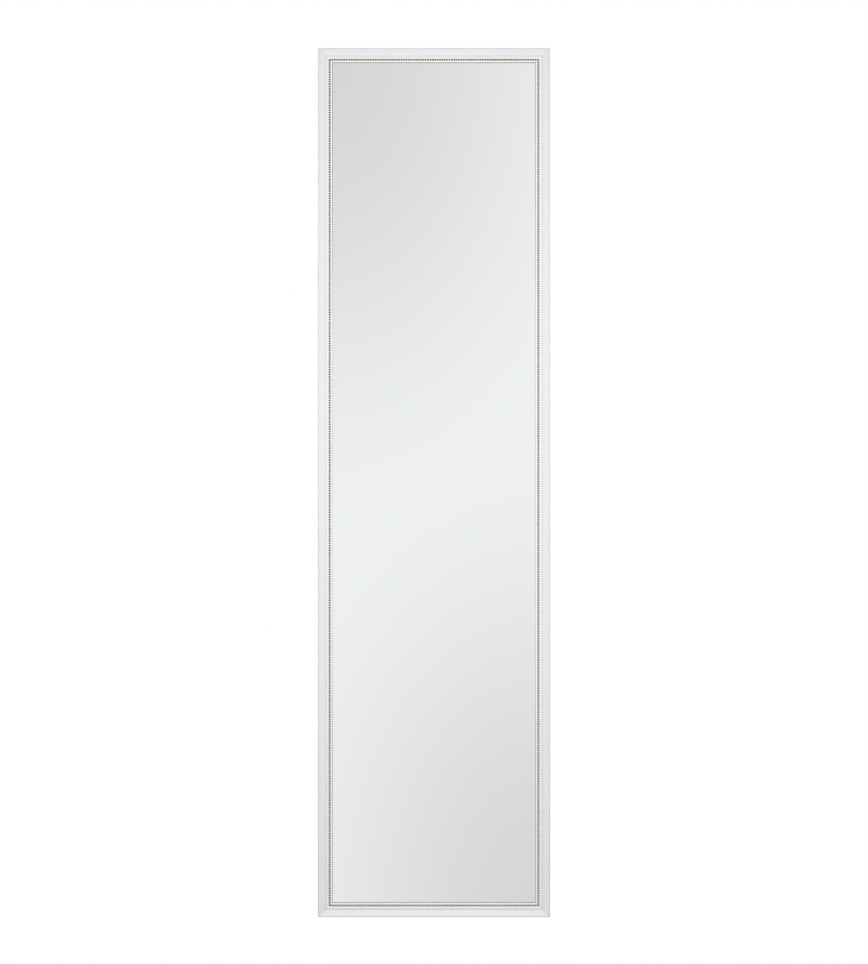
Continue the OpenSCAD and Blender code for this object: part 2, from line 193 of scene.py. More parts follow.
def pick(*objects):
    """Selects these objects alone, with the first of them active."""
    bpy.ops.object.select_all(action="DESELECT")
    for obj in objects:
        obj.select_set(True)
    bpy.context.view_layer.objects.active = objects[0]


@contextmanager
def editing(obj, elements="VERT"):
    """Edit mode on one object, in vertex, edge or face select."""
    pick(obj)
    bpy.ops.object.mode_set(mode="EDIT")
    bpy.ops.mesh.select_mode(type=elements)
    yield
    bpy.ops.object.mode_set(mode="OBJECT")


def middle(element):
    """The middle of a vertex, edge or face."""
    corners = getattr(element, "verts", [element])
    return sum((corner.co for corner in corners), Vector()) / len(corners)


def along(axis):
    """A test for edges that run along an axis, or nearly so."""
    return lambda edge: abs((edge.verts[0].co - edge.verts[1].co).normalized()[axis]) > 0.9


def choose(kind, test, runs=None):
    """In edit mode, selects the verts, edges or faces whose middle passes the test. Of edges,
    only those that run as asked."""
    mesh = bmesh.from_edit_mesh(bpy.context.edit_object.data)
    for group in (mesh.verts, mesh.edges, mesh.faces):
        for element in group:
            element.select_set(False)
    for element in getattr(mesh, kind):
        if (runs is None or runs(element)) and test(middle(element)):
            element.select_set(True)
    bmesh.update_edit_mesh(bpy.context.edit_object.data)


def new_piece(name, add, **settings):
    """Adds a primitive with nothing else selected, with its place in its mesh."""
    bpy.ops.object.select_all(action="DESELECT")
    add(**settings)
    obj = bpy.context.active_object
    obj.name = obj.data.name = name
    bpy.ops.object.transform_apply(location=True, rotation=True, scale=True)
    return obj


def modify(obj, kind, **settings):
    """Adds a modifier and applies it."""
    pick(obj)
    bpy.ops.object.modifier_add(type=kind)
    modifier = obj.modifiers[-1]
    for name, value in settings.items():
        setattr(modifier, name, value)
    bpy.ops.object.modifier_apply(modifier=modifier.name)


def cut(obj, cutter, solver="EXACT"):
    """Takes the cutter's shape out of a piece and deletes the cutter."""
    modify(obj, "BOOLEAN", operation="DIFFERENCE", object=cutter, solver=solver)
    bpy.data.objects.remove(cutter)


def soften(obj, width, segments=2):
    """Rounds the hard edges of a piece a little."""
    modify(obj, "BEVEL", width=width, segments=segments, limit_method="ANGLE",
           angle_limit=math.radians(30))


def join(pieces, name):
    """Joins pieces into the first."""
    pick(*pieces)
    bpy.ops.object.join()
    pieces[0].name = pieces[0].data.name = name
    return pieces[0]


def move(obj, place=(0, 0, 0), turn=(0, 0, 0), scale=(1, 1, 1)):
    """Scales or flips, turns and moves a piece, with its place in its mesh and its faces out."""
    pick(obj)
    obj.location, obj.rotation_euler, obj.scale = place, turn, scale
    bpy.ops.object.transform_apply(location=True, rotation=True, scale=True)
    with editing(obj):
        bpy.ops.mesh.select_all(action="SELECT")
        bpy.ops.mesh.normals_make_consistent(inside=False)
    return obj


def copy(obj, name):
    """A copy of a piece with its own mesh."""
    twin = obj.copy()
    twin.data = obj.data.copy()
    twin.name = twin.data.name = name
    bpy.context.scene.collection.objects.link(twin)
    return twin


def dress(obj, material, body, node):
    """Gives a finished piece its shading, finish and body, and hides the node that it stands for.
    """
    pick(obj)
    bpy.ops.object.shade_smooth_by_angle(angle=math.radians(35))
    obj.data.materials.clear()
    obj.data.materials.append(material)
    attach(obj, body)
    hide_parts(node)


class Pen:
    """Draws a closed outline in edit mode: straight runs are extruded and arcs are spun.
    across and up are the outline plane's directions in space."""

    def __init__(self, name, start, across, up):
        self.across, self.up = Vector(across), Vector(up)
        self.start = self.at = Vector(start)
        self.obj = new_piece(name, bpy.ops.mesh.primitive_plane_add, size=MM)
        bpy.ops.object.mode_set(mode="EDIT")
        bpy.ops.mesh.select_mode(type="VERT")
        bpy.ops.mesh.select_all(action="SELECT")
        bpy.ops.mesh.merge(type="CENTER")
        bpy.ops.transform.translate(value=self.place(self.start))

    def place(self, point):
        return self.across * point[0] + self.up * point[1]

    def line(self, *point):
        target = Vector(point)
        step = self.place(target - self.at)
        bpy.ops.mesh.extrude_vertices_move(TRANSFORM_OT_translate={"value": step})
        self.at = target

    def arc(self, centre, *point, steps=12):
        """Spins the shorter way round the centre to the point."""
        target, middle = Vector(point), Vector(centre)
        turn = (self.at - middle).angle_signed(target - middle)
        axis = self.up.cross(self.across)
        bpy.ops.mesh.spin(steps=steps, angle=-turn, center=self.place(middle), axis=axis)
        self.at = target

    def bow(self, sag, *point, steps=12):
        """An arc to the point that bulges by sag to the left of the way there."""
        target = Vector(point)
        half = (target - self.at).length / 2
        r = (half * half + sag * sag) / (2 * abs(sag))
        side = (target - self.at).normalized().orthogonal() * math.copysign(1, sag)
        self.arc((self.at + target) / 2 - side * (r - abs(sag)), *point, steps=steps)

    def close(self, depth):
        """Fills the outline and pulls it out to a solid."""
        self.line(*self.start)
        bpy.ops.mesh.select_all(action="SELECT")
        bpy.ops.mesh.remove_doubles(threshold=HAIR)
        bpy.ops.mesh.edge_face_add()
        bpy.ops.mesh.extrude_region_move(TRANSFORM_OT_translate={"value": depth})
        bpy.ops.mesh.select_all(action="SELECT")
        bpy.ops.mesh.normals_make_consistent(inside=False)
        bpy.ops.object.mode_set(mode="OBJECT")
        return self.obj


# ---- Pieces ----

SEAT_CUTTER_H = 60 * MM  # more than twice the height of the top rail
DOME_SHARE = 0.62  # of a screw head's height that its dome takes up
DOME_PROFILE = 0.6  # of a screw head's dome, a little fuller than round
RECESS_TAPER = 0.6  # size of a cross recess at its bottom, as a share of that at its mouth
TIP_TAPER = 0.3  # width of a screw at its tip, as a share of its shank
HEAD_SOFT_EDGE = 0.08 * MM


def section(sizes):
    """Corner places of the moulding's section: u across from the outer edge, v up from its back."""
    place = {"face_u": STILE_HIGH.x - STILE_LOW.x, "crest_v": -STILE_LOW.y}
    place["cove_u"] = sizes.crown_w + sizes.cove_w
    place["channel_u"] = place["cove_u"] + sizes.band_w
    place["bevel_u"] = place["face_u"] - sizes.bevel_w
    place["fillet_u"] = place["bevel_u"] - sizes.fillet_w
    place["land_u"] = FRAME_W / 2 - GLASS_HIGH.x - sizes.rebate_gap
    place["glass_v"] = -GLASS_LOW.y
    place["band_v"] = place["crest_v"] - sizes.band_drop
    place["channel_v"] = place["band_v"] - sizes.channel_depth
    place["fillet_v"] = place["band_v"] - sizes.fillet_drop
    return place


def mitre(run):
    """In edit mode, cuts both ends of a member at 45 degrees. Its outer edge is the z axis."""
    for z, way in ((0, 1), (-run, -1)):
        bpy.ops.mesh.select_all(action="SELECT")
        bpy.ops.mesh.bisect(plane_co=(0, 0, z), plane_no=(1, 0, way), use_fill=True,
                            clear_outer=True)


def moulding(name, sizes, run):
    """One mitred member of the frame, standing with its outer edge on the z axis."""
    at = section(sizes)
    crown_r = (sizes.crown_w**2 + sizes.crown_rise**2) / (2 * sizes.crown_rise)
    crown_c = Vector((sizes.crown_w, at["crest_v"] - crown_r))
    reach, inset = crown_r - sizes.edge_r, sizes.crown_w - sizes.edge_r
    edge_c = Vector((sizes.edge_r, crown_c.y + math.sqrt(reach**2 - inset**2)))
    pen = Pen(name, (0, 0), across=(1, 0, 0), up=(0, -1, 0))
    pen.line(0, edge_c.y)
    pen.arc(edge_c, *(edge_c + (edge_c - crown_c).normalized() * sizes.edge_r), steps=6)
    pen.arc(crown_c, sizes.crown_w, at["crest_v"], steps=14)
    pen.bow(-sizes.cove_depth, at["cove_u"], at["band_v"], steps=12)
    pen.line(at["channel_u"], at["band_v"])
    pen.line(at["channel_u"], at["channel_v"])
    pen.line(at["fillet_u"], at["channel_v"])
    pen.line(at["fillet_u"], at["fillet_v"])
    pen.bow(sizes.fillet_rise, at["bevel_u"], at["fillet_v"], steps=8)
    pen.line(at["face_u"], at["fillet_v"] - sizes.bevel_w)
    pen.line(at["face_u"], at["glass_v"])
    pen.line(at["land_u"], at["glass_v"])
    pen.line(at["land_u"], 0)
    member = pen.close((0, 0, -run))
    with editing(member):
        mitre(run)
    return member


def strap_seat(sizes, x):
    """Cutter for the groove that guides a strap up the back of the top rail."""
    wide = HOOK_HIGH.x - HOOK_LOW.x + 2 * sizes.seat_gap
    return new_piece("seat_cutter", bpy.ops.mesh.primitive_cube_add, size=1, location=(x, 0, TOP_Z),
                     scale=(wide, 2 * sizes.strap_t, SEAT_CUTTER_H))


def bead_places(moulding_sizes, sizes, run):
    """Where the beads of one row lie: how far in from the outer edge, how far the first is from
    the end of the member, how many spaces there are and how long each is. The first beads of two
    rows lie one pitch apart across the corner."""
    at = section(moulding_sizes)
    bead_u = (at["channel_u"] + at["fillet_u"]) / 2
    first = bead_u + sizes.pitch / math.sqrt(2)
    spaces = round((run - 2 * first) / sizes.pitch)
    return bead_u, first, spaces, (run - 2 * first) / spaces


def bead_row(name, moulding_sizes, sizes, run):
    """One mitred strip with its row of beads, standing as its member does."""
    at = section(moulding_sizes)
    bead_u, first, spaces, spacing = bead_places(moulding_sizes, sizes, run)
    inner = at["channel_u"] + sizes.strip_gap
    outer = at["fillet_u"] - sizes.strip_gap
    face_v = at["channel_v"] + sizes.strip_t
    strip = new_piece(
        "strip", bpy.ops.mesh.primitive_cube_add, size=1,
        location=(bead_u, -(at["channel_v"] + face_v) / 2, -run / 2),
        scale=(outer - inner, sizes.strip_t, run),
    )
    with editing(strip):
        mitre(run)
    bead = new_piece("bead", bpy.ops.mesh.primitive_uv_sphere_add, segments=12, ring_count=8,
                     radius=sizes.diameter / 2, location=(bead_u, -face_v, -first),
                     rotation=(math.pi / 2, 0, 0))
    with editing(bead):
        bpy.ops.mesh.select_all(action="SELECT")
        bpy.ops.mesh.bisect(plane_co=(bead_u, sizes.sink - face_v, -first), plane_no=(0, 1, 0),
                            clear_outer=True, use_fill=True)
    modify(bead, "ARRAY", count=spaces + 1, use_relative_offset=False, use_constant_offset=True,
           constant_offset_displace=(0, 0, -spacing))
    return join([strip, bead], name)


def round_the_frame(make, names):
    """Makes a left member and a top member, and copies each over to the opposite side.
    names are the left, right, top and bottom pieces'."""
    left = move(make(names[0], FRAME_H), place=(-FRAME_W / 2, 0, TOP_Z))
    top = move(make(names[2], FRAME_W), place=(FRAME_W / 2, 0, TOP_Z), turn=(0, math.pi / 2, 0))
    right = move(copy(left, names[1]), scale=(-1, 1, 1))
    bottom = move(copy(top, names[3]), place=(0, 0, 2 * MID_Z), scale=(1, 1, -1))
    return left, right, top, bottom


def bent_strap(name, sizes, x):
    """A strap hook's flat strip, bent over the door and flared, with rounded ends."""
    back_y, web_z, foot_z = HOOK_LOW.y, HOOK_HIGH.z - sizes.strap_t, HOOK_LOW.z
    half = (HOOK_HIGH.x - HOOK_LOW.x) / 2
    t, r = sizes.strap_t, sizes.bend_r
    lean = Vector((math.sin(sizes.flare_angle), -math.cos(sizes.flare_angle)))
    proud = Vector((math.cos(sizes.flare_angle), math.sin(sizes.flare_angle)))
    lip_y = HOOK_HIGH.y - sizes.flare_len * lean.x - t * proud.x
    knee = Vector((lip_y, web_z - sizes.lip + sizes.flare_len))
    far_y = lip_y + t
    pen = Pen(name, (back_y, foot_z), across=(0, 1, 0), up=(0, 0, 1))
    pen.line(back_y, web_z - r)
    pen.arc((back_y + t + r, web_z - r), back_y + t + r, web_z + t)
    pen.line(far_y - t - r, web_z + t)
    pen.arc((far_y - t - r, web_z - r), far_y, web_z - r)
    pen.line(*(knee + t * Vector((1, math.tan(sizes.flare_angle / 2)))))
    pen.line(*(knee + sizes.flare_len * lean + t * proud))
    pen.line(*(knee + sizes.flare_len * lean))
    pen.line(*knee)
    pen.line(lip_y, web_z - r)
    pen.arc((lip_y - r, web_z - r), lip_y - r, web_z)
    pen.line(back_y + t + r, web_z)
    pen.arc((back_y + t + r, web_z - r), back_y + t, web_z - r)
    pen.line(back_y + t, foot_z)
    hook = move(pen.close((2 * half, 0, 0)), place=(x - half, 0, 0))
    tip_z = (knee + sizes.flare_len * lean).y
    with editing(hook, "EDGE"):
        choose("edges", lambda p: p.z < foot_z + t or (p.y > lip_y and p.z < tip_z + t), along(1))
        bpy.ops.mesh.bevel(offset=sizes.corner_r, segments=8, affect="EDGES")
    return hook


def strap_hook(name, sizes, x):
    """A strap hook at rest, with its two slots and the soft edges of sheared strip."""
    hook = bent_strap(name, sizes, x)
    for side in (-1, 1):
        slot = new_piece("slot_cutter", bpy.ops.mesh.primitive_cylinder_add, vertices=32,
                         radius=sizes.slot_w / 2, depth=8 * sizes.strap_t,
                         rotation=(math.pi / 2, 0, 0),
                         location=(x + side * sizes.slot_pitch / 2, HOOK_LOW.y, 0))
        with editing(slot):
            choose("verts", lambda p: p.z < -HAIR)
            bpy.ops.transform.translate(value=(0, 0, -sizes.travel))
        cut(hook, slot)
    soften(hook, sizes.soft_edge)
    return hook


def hook_screws(name, sizes, x):
    """The two pan-head screws of a hook, each with a domed head and a cross recess."""
    screws = []
    for side in (-1, 1):
        centre = x + side * sizes.slot_pitch / 2
        head = new_piece("head", bpy.ops.mesh.primitive_cylinder_add, vertices=40,
                         radius=sizes.head_d / 2, depth=sizes.head_h, rotation=(math.pi / 2, 0, 0),
                         location=(centre, sizes.head_h / 2, 0))
        with editing(head, "FACE"):
            choose("faces", lambda p: p.y > sizes.head_h - HAIR)
            bpy.ops.mesh.bevel(offset=sizes.head_h * DOME_SHARE, segments=6, profile=DOME_PROFILE,
                               affect="EDGES")
        for turn in (0, math.pi / 2):
            arm = new_piece("arm", bpy.ops.mesh.primitive_cube_add, size=1, rotation=(0, turn, 0),
                            location=(centre, sizes.head_h, 0),
                            scale=(sizes.shank_d, 2 * sizes.recess_depth, sizes.recess_w))
            with editing(arm):
                choose("verts", lambda p: p.y < sizes.head_h)
                bpy.ops.transform.resize(value=(RECESS_TAPER, 1, RECESS_TAPER))
            cut(head, arm)
        shank = new_piece("shank", bpy.ops.mesh.primitive_cylinder_add, vertices=24,
                          radius=sizes.shank_d / 2, depth=sizes.shank_len,
                          rotation=(math.pi / 2, 0, 0), location=(centre, -sizes.shank_len / 2, 0))
        with editing(shank):
            choose("verts", lambda p: p.y < -sizes.shank_len + HAIR)
            bpy.ops.transform.resize(value=(TIP_TAPER, 1, TIP_TAPER))
        soften(head, HEAD_SOFT_EDGE, 1)
        screws += [head, shank]
    return join(screws, name)


def pad(name, sizes, node):
    """A die-cut foam pad with rounded corners, filling its node's box."""
    low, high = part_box(node)
    size = high - low
    thin = min(range(3), key=lambda axis: size[axis])
    block = new_piece(name, bpy.ops.mesh.primitive_cube_add, size=1, location=(low + high) / 2,
                      scale=size)
    with editing(block, "EDGE"):
        choose("edges", lambda p: True, along(thin))
        bpy.ops.mesh.bevel(offset=sizes.pad_corner, segments=8, affect="EDGES")
    soften(block, size[thin] / 6, 3)
    return block


def bumpers(name):
    """The two domed rubber bumpers on the back of the bottom rail."""
    low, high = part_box("door_bumpers")
    r = (high.z - low.z) / 2
    tall = high.y - low.y
    domes = []
    for x in (low.x + r, high.x - r):
        dome = new_piece("dome", bpy.ops.mesh.primitive_cylinder_add, vertices=40, radius=r,
                         depth=tall, rotation=(math.pi / 2, 0, 0),
                         location=(x, tall / 2, low.z + r))
        with editing(dome, "FACE"):
            choose("faces", lambda p: p.y > tall - HAIR)
            bpy.ops.mesh.bevel(offset=tall / 2, segments=6, affect="EDGES")
        domes.append(dome)
    return join(domes, name)


# ---- Finishes ----

MATH, RANGE, MIX = "ShaderNodeMath", "ShaderNodeMapRange", "ShaderNodeMix"
NOISE, CELLS, BUMP = "ShaderNodeTexNoise", "ShaderNodeTexVoronoi", "ShaderNodeBump"
COORDS, SPLIT, VECTOR = "ShaderNodeTexCoord", "ShaderNodeSeparateXYZ", "ShaderNodeVectorMath"
TONE, PLACE = "ShaderNodeHueSaturation", "ShaderNodeMapping"
SHARE, FIRST, SECOND = 0, 6, 7  # inputs of a colour mix node


def feed(tree, node, inputs):
    """Fills inputs of a node. Each gets a value, or the node or socket that feeds it."""
    for key, value in inputs.items():
        if isinstance(value, bpy.types.Node):
            value = next(output for output in value.outputs if output.enabled)
        if isinstance(value, bpy.types.NodeSocket):
            tree.links.new(value, node.inputs[key])
        else:
            node.inputs[key].default_value = value


def add_node(tree, kind, inputs=None, **settings):
    """Adds a node with its settings and what feeds it."""
    made = tree.nodes.new(kind)
    for name, value in settings.items():
        setattr(made, name, value)
    feed(tree, made, inputs or {})
    return made


def new_finish(name, base, roughness, metallic=0.0):
    """A material, its node tree and its shader."""
    material = bpy.data.materials.new(name)
    material.use_nodes = True
    material.diffuse_color = base
    tree = material.node_tree
    shader = tree.nodes["Principled BSDF"]
    feed(tree, shader, {"Base Color": base, "Roughness": roughness, "Metallic": metallic})
    return material, tree, shader


def millimetres(tree):
    """Object coordinates in millimetres, measured from the middle of the frame's back."""
    spot = add_node(tree, COORDS).outputs["Object"]
    return add_node(tree, PLACE, {
        "Vector": spot, "Location": (0, 0, -MID_Z / MM), "Scale": (1 / MM, 1 / MM, 1 / MM),
    })


def uneven(tree, tint, noise, low, high):
    """A colour that a noise makes a little darker here, down to low, and lighter there."""
    level = add_node(tree, RANGE, {"Value": noise, "From Min": 0.3, "From Max": 0.7,
                                   "To Min": low, "To Max": high})
    return add_node(tree, TONE, {"Color": tint, "Value": level})


def on_the_member(tree, spot):
    """Where a point lies on its member of the frame, in millimetres: across from the outer edge,
    run from the member's end, gap from the mitre and up from the back. stile is 1 on a stile and
    0 on a rail, and low goes from 0 at the top of the frame to 1 at its foot."""
    split = add_node(tree, SPLIT, {0: spot})
    low = add_node(tree, RANGE, {"Value": split.outputs["Z"], "From Min": FRAME_H / 2 / MM,
                                 "From Max": -FRAME_H / 2 / MM})
    side = add_node(tree, MATH, {0: split.outputs["X"]}, operation="ABSOLUTE")
    side = add_node(tree, MATH, {0: FRAME_W / 2 / MM, 1: side}, operation="SUBTRACT")
    end = add_node(tree, MATH, {0: split.outputs["Z"]}, operation="ABSOLUTE")
    end = add_node(tree, MATH, {0: FRAME_H / 2 / MM, 1: end}, operation="SUBTRACT")
    across = add_node(tree, MATH, {0: side, 1: end}, operation="MINIMUM")
    run = add_node(tree, MATH, {0: side, 1: end}, operation="MAXIMUM")
    gap = add_node(tree, MATH, {0: run, 1: across}, operation="SUBTRACT")
    up = add_node(tree, MATH, {0: split.outputs["Y"], 1: -1}, operation="MULTIPLY")
    stile = add_node(tree, MATH, {0: end, 1: side}, operation="GREATER_THAN")
    return SimpleNamespace(across=across, run=run, gap=gap, up=up, stile=stile, low=low)


def by_member(tree, member, low, rails, stiles):
    """A value that goes from its first to its second figure as low goes from 0 to 1, with other
    figures on the rails than on the stiles."""
    rails = add_node(tree, RANGE, {"Value": low, "To Min": rails[0], "To Max": rails[1]})
    stiles = add_node(tree, RANGE, {"Value": low, "To Min": stiles[0], "To Max": stiles[1]})
    return add_node(tree, RANGE, {"Value": member.stile, "To Min": rails, "To Max": stiles})


def wash_and_shade_in_the_cove(tree, member, sizes):
    """Share of the brown tone in the hollow of the cove: a trace of wash and painted shade, much
    more on the rails than on the stiles, and most of it on the bottom rail.
    """
    cove_middle = (sizes.crown_w + sizes.cove_w / 2) / MM
    off = add_node(tree, MATH, {0: member.across, 1: cove_middle}, operation="SUBTRACT")
    off = add_node(tree, MATH, {0: off}, operation="ABSOLUTE")
    trace = by_member(tree, member, member.low, rails=(0.2, 0.4), stiles=(0.04, 0.04))
    return add_node(tree, RANGE, {
        "Value": off, "From Min": sizes.cove_w / 2 / MM, "From Max": 0.2, "To Max": trace,
    }, interpolation_type="SMOOTHSTEP")


def wash_and_shade_on_the_bevel(tree, member, at):
    """Share of the brown tone on the bevel at the sight edge: a thin wash with painted shade where
    the frame meets the glass, thicker towards the corners.
    """
    bevel = add_node(tree, RANGE, {
        "Value": member.across, "From Min": at["bevel_u"] - 0.1, "From Max": at["bevel_u"] + 0.2,
    }, interpolation_type="SMOOTHSTEP")
    left = add_node(tree, RANGE, {"Value": member.gap, "From Min": 180, "From Max": 420,
                                  "To Min": 0.9, "To Max": 0.4}, interpolation_type="SMOOTHSTEP")
    return add_node(tree, MATH, {0: bevel, 1: left}, operation="MULTIPLY")


def shade_on_the_arris(tree, member, at):
    """How much greyer the outer arris is: painted shade where the rounded edge turns away from the
    light, most of all under the foot."""
    arris = add_node(tree, RANGE, {"Value": member.across, "From Max": 1.7,
                                   "To Min": 0.2, "To Max": 0})
    front = add_node(tree, RANGE, {
        "Value": member.up, "From Min": at["crest_v"] - 7, "From Max": at["crest_v"] - 4,
    }, interpolation_type="SMOOTHSTEP")
    arris = add_node(tree, MATH, {0: arris, 1: front}, operation="MULTIPLY")
    foot = add_node(tree, RANGE, {"Value": member.low, "From Min": 0.4})
    foot_shade = by_member(tree, member, foot, rails=(1.0, 2.6), stiles=(1.0, 2.0))
    return add_node(tree, MATH, {0: arris, 1: foot_shade}, operation="MULTIPLY")


def paint_and_shade_level(tree, spot, member, at):
    """How light the paint is. Spray paint varies by about one part in a hundred over a hand's
    width. Painted shade makes the outer arris darker, the stiles darker than the rails and darker
    towards the foot, and the top rail a little darker than the bottom one."""
    cloud = add_node(tree, NOISE, {"Vector": spot, "Scale": 1 / 60, "Detail": 3})
    cloud = add_node(tree, RANGE, {"Value": cloud, "From Min": 0.3, "From Max": 0.7,
                                   "To Min": 0.985, "To Max": 1.0})
    # Painted shade on the outer arris, deepest under the foot
    cloud = add_node(tree, MATH, {0: cloud, 1: shade_on_the_arris(tree, member, at)},
                     operation="SUBTRACT")
    # Painted shade: the stiles darker and darkening towards the foot, the rails lighter towards it
    light_falloff = by_member(tree, member, member.low, rails=(0.955, 1.03), stiles=(0.94, 0.9))
    return add_node(tree, MATH, {0: cloud, 1: light_falloff}, operation="MULTIPLY")


def satin_moulding_paint(finish, sizes):
    """Satin white paint sprayed on moulded polystyrene, with a brown wash wiped over it: a soft
    sheen, faint orange peel, painted shade on the outer arris, in the cove and down the stiles, a
    painted highlight on the band and fillet, and brown wash with painted shade on the sight edge."""
    material, tree, shader = new_finish("satin_moulding_paint", finish.paint, 0.42)
    at = {key: value / MM for key, value in section(sizes).items()}
    spot = millimetres(tree)
    member = on_the_member(tree, spot)

    # Painted highlight: the band beside the beads is painted brighter towards them, and so is all
    # of the fillet
    highlight_share = add_node(tree, RANGE, {
        "Value": member.across, "From Min": at["cove_u"] - 0.5, "From Max": at["channel_u"],
    }, interpolation_type="SMOOTHSTEP")
    paint = add_node(tree, MIX, {SHARE: highlight_share, FIRST: finish.paint, SECOND: finish.bright_paint},
                     data_type="RGBA")
    # Painted shade and a trace of wash in the hollow of the cove
    cove = wash_and_shade_in_the_cove(tree, member, sizes)
    paint = add_node(tree, MIX, {SHARE: cove, FIRST: paint, SECOND: finish.edge_wash_and_shade},
                     data_type="RGBA")
    paint = add_node(tree, TONE, {"Color": paint, "Value": paint_and_shade_level(tree, spot, member, at)})

    # Wash and painted shade lie on the bevel, and wash in the mitre, which shows as a hairline in
    # the paint
    bevel = wash_and_shade_on_the_bevel(tree, member, at)
    hairline = add_node(tree, RANGE, {
        "Value": member.gap, "From Min": 0.1, "From Max": 0.35, "To Min": 0.45, "To Max": 0.0,
    }, interpolation_type="SMOOTHSTEP")
    for share in (bevel, hairline):
        paint = add_node(tree, MIX, {SHARE: share, FIRST: paint, SECOND: finish.edge_wash_and_shade},
                         data_type="RGBA")

    dull = add_node(tree, RANGE, {"Value": bevel, "To Min": 0.42, "To Max": 0.7})
    peel = add_node(tree, NOISE, {"Vector": spot, "Scale": 1 / 1.6, "Detail": 2})
    peel = add_node(tree, BUMP, {"Height": peel, "Strength": 0.35, "Distance": 0.02 * MM})
    feed(tree, shader, {"Base Color": paint, "Roughness": dull, "Normal": peel})
    return material


def brown_between_beads(tree, spot, moulding_sizes, sizes):
    """Share of the brown wash: an uneven oval between two beads, as wide as the channel lets it
    show. It is full to 0.8 of the oval's size and gone at 1.4, and it is wiped off the outer
    corner of two rows."""
    member = on_the_member(tree, spot)
    bead_u, first, _, rail_spacing = bead_places(moulding_sizes, sizes, FRAME_W)
    stile_spacing = bead_places(moulding_sizes, sizes, FRAME_H)[3]

    # 0 at the middle of a bead and half a space in a crevice, and in the corner of two rows
    spacing = add_node(tree, RANGE, {"Value": member.stile, "To Min": rail_spacing / MM,
                                     "To Max": stile_spacing / MM})
    bead = add_node(tree, MATH, {0: member.run, 1: first / MM}, operation="SUBTRACT")
    bead = add_node(tree, MATH, {0: bead, 1: spacing}, operation="DIVIDE")
    bead = add_node(tree, MATH, {0: bead, 1: -0.5}, operation="MAXIMUM")
    bead = add_node(tree, MATH, {0: bead, 1: 0.5}, operation="PINGPONG")

    long = add_node(tree, RANGE, {"Value": bead, "From Min": 0.5, "From Max": 0,
                                  "To Max": sizes.pitch / sizes.wash_l})
    wide = add_node(tree, MATH, {0: member.across, 1: bead_u / MM}, operation="SUBTRACT")
    wide = add_node(tree, MATH, {0: wide, 1: sizes.wash_w / 2 / MM}, operation="DIVIDE")
    oval = add_node(tree, "ShaderNodeCombineXYZ", {0: long, 1: wide})
    oval = add_node(tree, VECTOR, {0: oval}, operation="LENGTH")
    ragged = add_node(tree, NOISE, {"Vector": spot, "Scale": 1 / 1.3, "Detail": 2})
    oval = add_node(tree, MATH, {0: ragged, 1: 0.1, 2: oval}, operation="MULTIPLY_ADD")
    left = add_node(tree, RANGE, {"Value": oval, "From Min": 1.4, "From Max": 0.8},
                    interpolation_type="SMOOTHSTEP")
    corner = add_node(tree, MATH, {0: member.across, 1: member.run}, operation="ADD")
    corner = add_node(tree, RANGE, {
        "Value": corner, "From Min": 2 * bead_u / MM - 1.5, "From Max": 2 * bead_u / MM - 0.9,
    }, interpolation_type="SMOOTHSTEP")
    return add_node(tree, MATH, {0: left, 1: corner}, operation="MULTIPLY")


def washed_beads(finish, moulding_sizes, sizes):
    """Moulded polystyrene beads painted white and wiped with a brown wash: white caps, with a
    spot of brown left in each crevice between one bead and the next."""
    material, tree, shader = new_finish("washed_beads", finish.bright_paint, 0.4)
    spot = millimetres(tree)
    left = brown_between_beads(tree, spot, moulding_sizes, sizes)
    thick = add_node(tree, NOISE, {"Vector": spot, "Scale": 1 / 9, "Detail": 3})
    brown = uneven(tree, finish.wash, thick, 0.85, 1.2)
    paint = add_node(tree, MIX, {SHARE: left, FIRST: finish.bright_paint, SECOND: brown},
                     data_type="RGBA")
    dull = add_node(tree, RANGE, {"Value": left, "To Min": 0.4, "To Max": 0.7})
    feed(tree, shader, {"Base Color": paint, "Roughness": dull})
    return material


def silvered_float_glass(finish):
    """Silver behind clear float glass: a sharp reflection with a slightly cool grey tint. The
    edge is ground, green and dull, and grey paint seals the silver at the back."""
    material, tree, shader = new_finish("silvered_float_glass", finish.silver, 0.0, metallic=1.0)
    spot = millimetres(tree)
    depth = add_node(tree, SPLIT, {0: spot}).outputs["Y"]
    front, back, skin = GLASS_LOW.y / MM, GLASS_HIGH.y / MM, 0.05
    ground = add_node(tree, RANGE, {"Value": depth, "From Min": front + skin / 5,
                                    "From Max": front + skin})
    sealed = add_node(tree, RANGE, {"Value": depth, "From Min": back - skin,
                                    "From Max": back - skin / 5})
    grit = add_node(tree, NOISE, {"Vector": spot, "Scale": 1 / 0.5, "Detail": 3})
    edge = uneven(tree, finish.glass_edge, grit, 0.9, 1.08)
    tone = add_node(tree, MIX, {SHARE: ground, FIRST: finish.silver, SECOND: edge},
                    data_type="RGBA")
    tone = add_node(tree, MIX, {SHARE: sealed, FIRST: tone, SECOND: finish.back_paint},
                    data_type="RGBA")
    metal = add_node(tree, RANGE, {"Value": ground, "To Min": 1, "To Max": 0})
    dull = add_node(tree, RANGE, {"Value": ground, "To Max": 0.5})
    feed(tree, shader, {"Base Color": tone, "Metallic": metal, "Roughness": dull})
    return material


